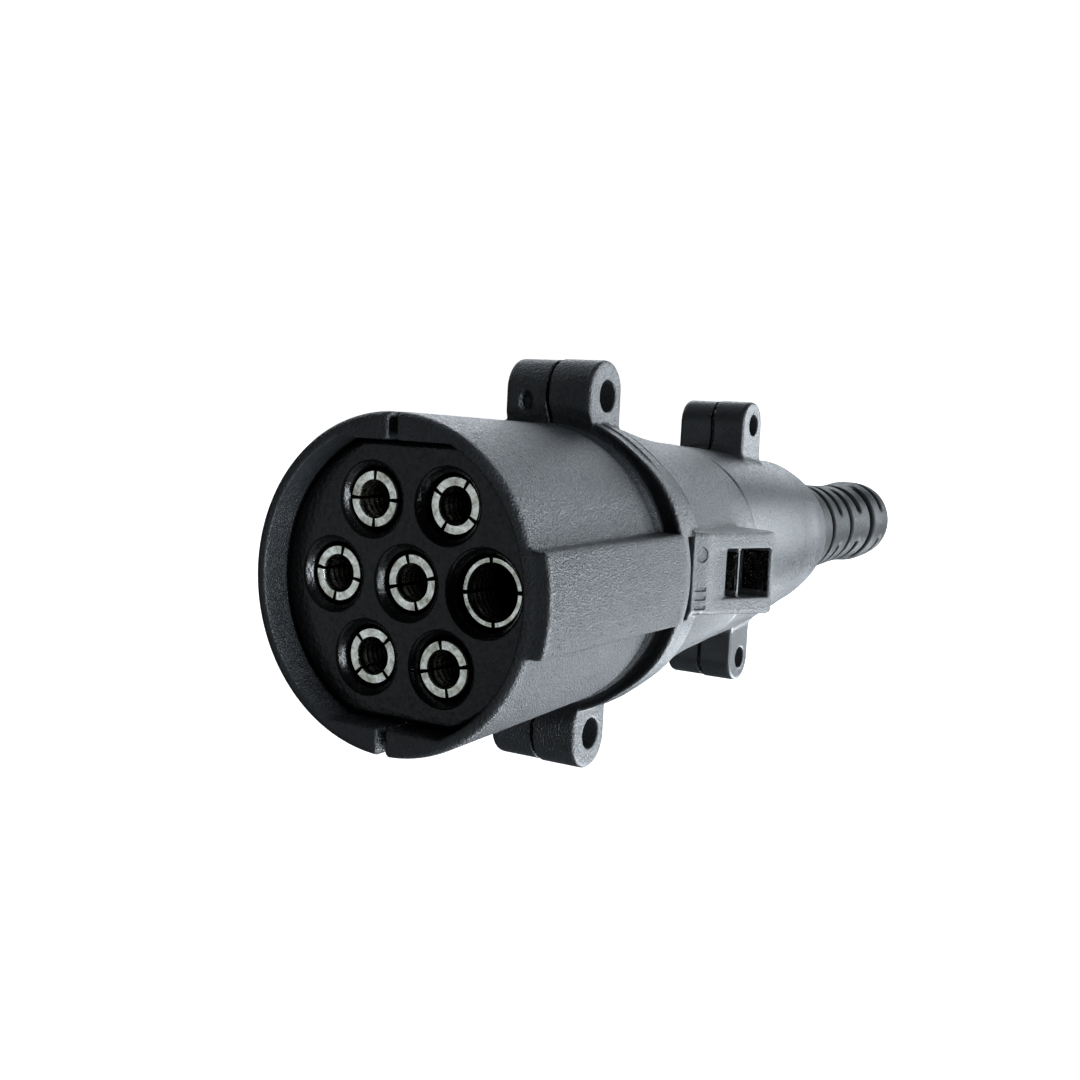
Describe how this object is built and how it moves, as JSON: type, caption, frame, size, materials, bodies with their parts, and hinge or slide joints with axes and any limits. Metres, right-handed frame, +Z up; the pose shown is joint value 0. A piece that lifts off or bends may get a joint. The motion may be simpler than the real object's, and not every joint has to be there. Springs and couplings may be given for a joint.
{
  "type": "trailer wiring connector",
  "caption": "Round clamshell plug for truck and trailer wiring: keyed barrel with female contacts, lid catch, screw lugs and a ribbed rubber cable boot.",
  "frame": {"origin": "centre of the front rim, on the plug's axis", "axes": "+Y along the plug's axis from the mating face to the cable boot, +X to the side with the key and the lid catch, +Z up to the upper screw lugs"},
  "size_m": [0.0476, 0.177, 0.0604],
  "materials": {
    "shell_plastic": "spark-textured black moulding",
    "insert_plastic": "satin black moulding",
    "contact_metal": "nickel plated, turned",
    "screw_metal": "zinc plated",
    "dark_screw": "black oxide",
    "clamp_plastic": "matt black moulding",
    "boot_rubber": "satin dark grey rubber"
  },
  "bodies": {
    "plug_body": {"right_half_shell": "shell_plastic", "contact_insert": "insert_plastic", "contact_locking_plate": "insert_plastic", "earth_contact": "contact_metal", "upper_right_contact": "contact_metal", "upper_left_contact": "contact_metal", "left_contact": "contact_metal", "lower_left_contact": "contact_metal", "lower_right_contact": "contact_metal", "centre_contact": "contact_metal", "earth_terminal_screw": "screw_metal", "upper_right_terminal_screw": "screw_metal", "upper_left_terminal_screw": "screw_metal", "left_terminal_screw": "screw_metal", "lower_left_terminal_screw": "screw_metal", "lower_right_terminal_screw": "screw_metal", "centre_terminal_screw": "screw_metal", "cable_clamp_bar": "clamp_plastic", "upper_clamp_screw": "screw_metal", "lower_clamp_screw": "screw_metal", "cable_boot": "boot_rubber"},
    "left_half": {"left_half_shell": "shell_plastic"},
    "front_upper_screw": {"front_upper_body_screw": "dark_screw"},
    "front_lower_screw": {"front_lower_body_screw": "dark_screw"},
    "rear_upper_screw": {"rear_upper_body_screw": "dark_screw"},
    "rear_lower_screw": {"rear_lower_body_screw": "dark_screw"}
  },
  "joints": [
    {"name": "left_half_lift_off", "type": "slide", "parent": "plug_body", "child": "left_half", "axis": [-1, 0, 0], "range_m": [0, 0.045]},
    {"name": "front_upper_screw_turn", "type": "hinge", "parent": "left_half", "child": "front_upper_screw", "pos_m": [-0.006, 0.04175, 0.025], "axis": [-1, 0, 0], "continuous": true},
    {"name": "front_lower_screw_turn", "type": "hinge", "parent": "left_half", "child": "front_lower_screw", "pos_m": [-0.006, 0.04175, -0.025], "axis": [-1, 0, 0], "continuous": true},
    {"name": "rear_upper_screw_turn", "type": "hinge", "parent": "left_half", "child": "rear_upper_screw", "pos_m": [-0.006, 0.0989, 0.02125], "axis": [-1, 0, 0], "continuous": true},
    {"name": "rear_lower_screw_turn", "type": "hinge", "parent": "left_half", "child": "rear_lower_screw", "pos_m": [-0.006, 0.0989, -0.02125], "axis": [-1, 0, 0], "continuous": true}
  ]
}
